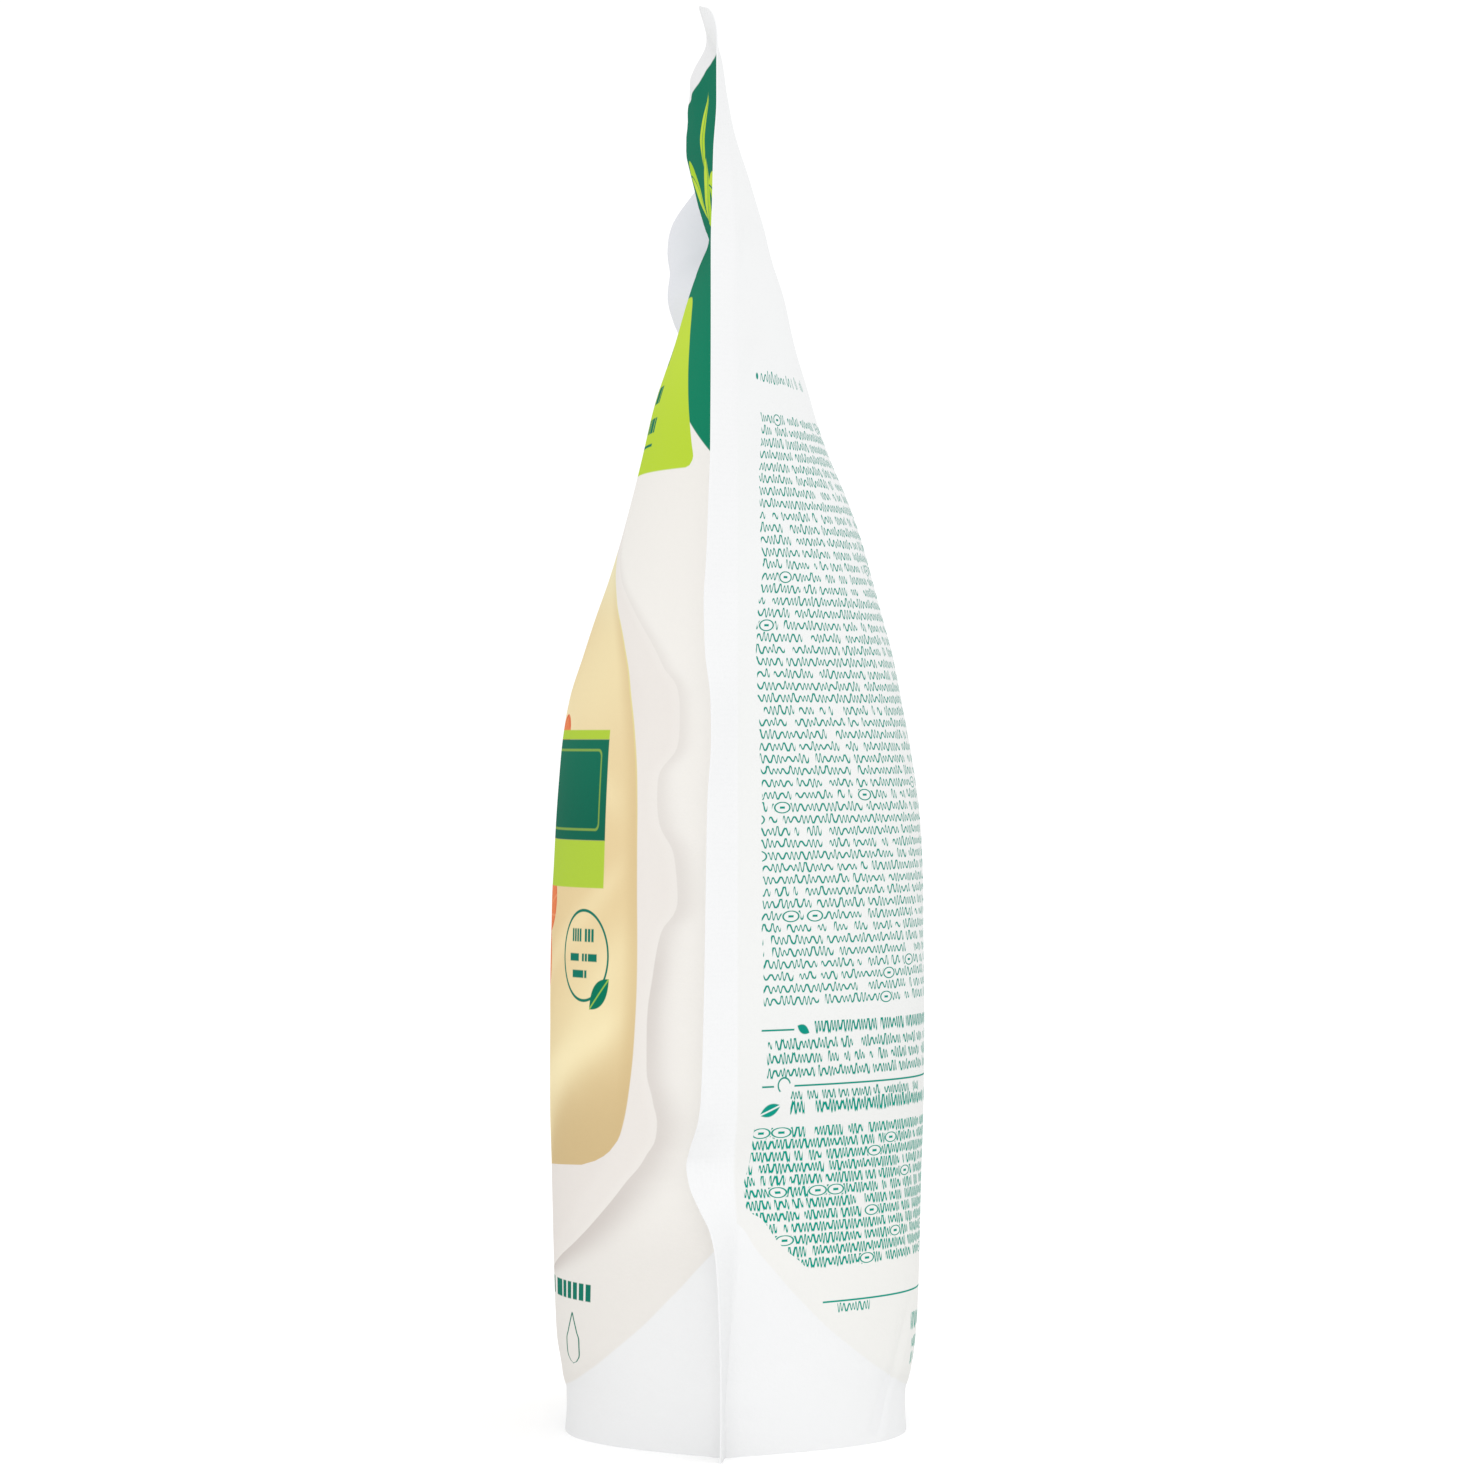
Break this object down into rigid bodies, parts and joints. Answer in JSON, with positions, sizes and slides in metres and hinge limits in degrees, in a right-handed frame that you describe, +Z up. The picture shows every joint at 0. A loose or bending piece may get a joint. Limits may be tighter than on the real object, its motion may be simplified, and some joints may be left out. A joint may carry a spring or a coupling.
{
  "type": "hand soap refill pouch",
  "caption": "Filled stand-up film pouch of liquid hand soap with welded sides and head, a U-welded base film and a formed pouring spout at the upper left corner.",
  "frame": {"origin": "on the ground, under the middle of the pouch's bounding box, inside the flat patch of the base film", "axes": "+Z up; the printed front faces -Y; +X is to the right of someone reading the front, and the spout points to -X and up"},
  "size_m": [0.1378, 0.0642, 0.237],
  "materials": {
    "film": "satin printed white film"
  },
  "bodies": {
    "root": {"refill_pouch": "film"}
  },
  "joints": []
}
